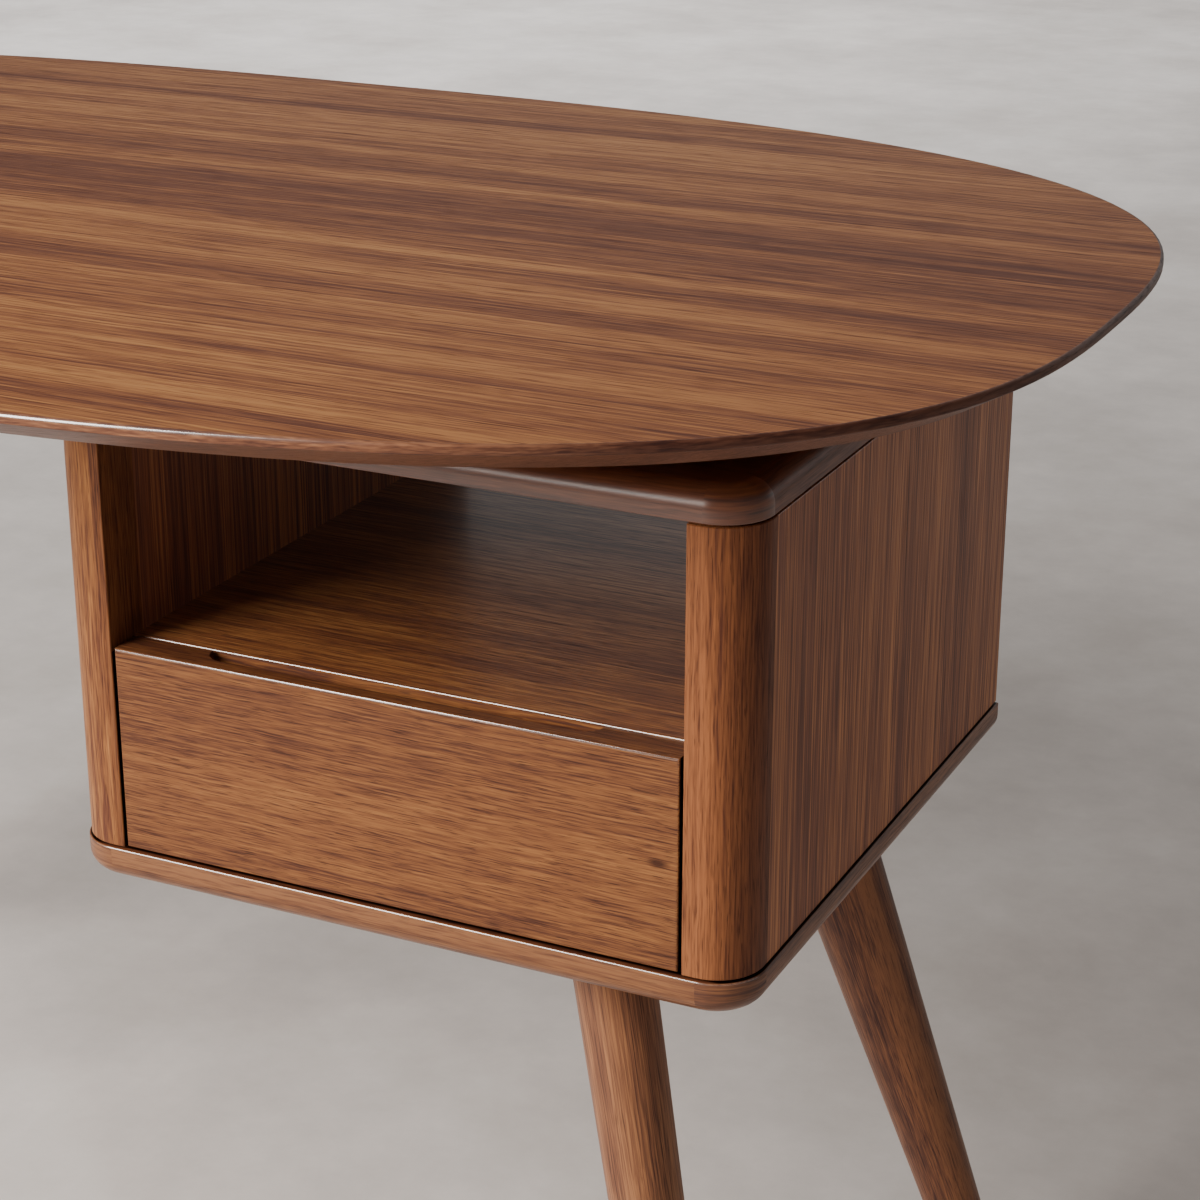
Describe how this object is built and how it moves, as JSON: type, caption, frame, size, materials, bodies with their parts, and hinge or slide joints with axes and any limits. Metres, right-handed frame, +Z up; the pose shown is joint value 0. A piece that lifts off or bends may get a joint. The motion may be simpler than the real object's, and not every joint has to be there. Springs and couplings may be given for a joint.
{
  "type": "writing desk",
  "caption": "Writing desk with an oval bevelled top, a rounded side case with an open cubby over a drawer, and splayed round tapered legs.",
  "frame": {"origin": "on the floor, straight below the middle of the tabletop", "axes": "+X along the desk towards the case with the drawer, -Y towards the sitter, +Z up"},
  "size_m": [1.32, 0.78, 0.75],
  "materials": {
    "walnut_top": "walnut veneer, satin lacquer, grain along the desk",
    "walnut_case": "walnut veneer, satin lacquer, grain upright on the sides",
    "walnut_front": "walnut veneer, satin lacquer, grain along the desk",
    "walnut_solid": "solid walnut, satin lacquer, grain along the piece",
    "batten_wood": "stained hardwood, matt",
    "drawer_birch": "birch plywood, clear matt lacquer",
    "runner_steel": "zinc-plated pressed steel",
    "fastener_steel": "zinc-plated steel",
    "dowel_beech": "plain beech",
    "glide_nylon": "dark nylon"
  },
  "bodies": {
    "desk": {"tabletop": "walnut_top", "case_top": "walnut_case", "case_bottom": "walnut_case", "side_left": "walnut_case", "side_right": "walnut_case", "back_panel": "walnut_case", "shelf": "walnut_front", "post_left": "walnut_solid", "post_right": "walnut_solid", "leg_front_left": "walnut_solid", "leg_rear_left": "walnut_solid", "leg_front_right": "walnut_solid", "leg_rear_right": "walnut_solid", "rail_front": "batten_wood", "rail_rear": "batten_wood", "bearer_left": "batten_wood", "leg_rail_right": "batten_wood", "runner_case_left": "runner_steel", "runner_case_right": "runner_steel", "leg_bolts": "fastener_steel", "leg_washers": "fastener_steel", "top_screws": "fastener_steel", "case_screws": "fastener_steel", "bearer_screws": "fastener_steel", "leg_rail_screws": "fastener_steel", "runner_case_screws": "fastener_steel", "back_screws": "fastener_steel", "shelf_dowels": "dowel_beech", "case_dowels": "dowel_beech", "glide_front_left": "glide_nylon", "glide_rear_left": "glide_nylon", "glide_front_right": "glide_nylon", "glide_rear_right": "glide_nylon"},
    "drawer": {"drawer_front": "walnut_front", "drawer_subfront": "drawer_birch", "drawer_side_left": "drawer_birch", "drawer_side_right": "drawer_birch", "drawer_back": "drawer_birch", "drawer_bottom": "drawer_birch", "runner_drawer_left": "runner_steel", "runner_drawer_right": "runner_steel", "runner_drawer_screws": "fastener_steel", "drawer_front_screws": "fastener_steel"},
    "runner_middle_left": {"runner_middle_left": "runner_steel"},
    "runner_middle_right": {"runner_middle_right": "runner_steel"}
  },
  "joints": [
    {"name": "drawer_slide", "type": "slide", "parent": "desk", "child": "drawer", "axis": [0, -1, 0], "range_m": [0, 0.28]},
    {"name": "runner_slide_left", "type": "slide", "parent": "desk", "child": "runner_middle_left", "axis": [0, -1, 0], "range_m": [0, 0.14]},
    {"name": "runner_slide_right", "type": "slide", "parent": "desk", "child": "runner_middle_right", "axis": [0, -1, 0], "range_m": [0, 0.14]}
  ],
  "couplings": [
    {"joint": "runner_slide_left", "follows": "drawer_slide", "ratio": 0.5},
    {"joint": "runner_slide_right", "follows": "drawer_slide", "ratio": 0.5}
  ]
}
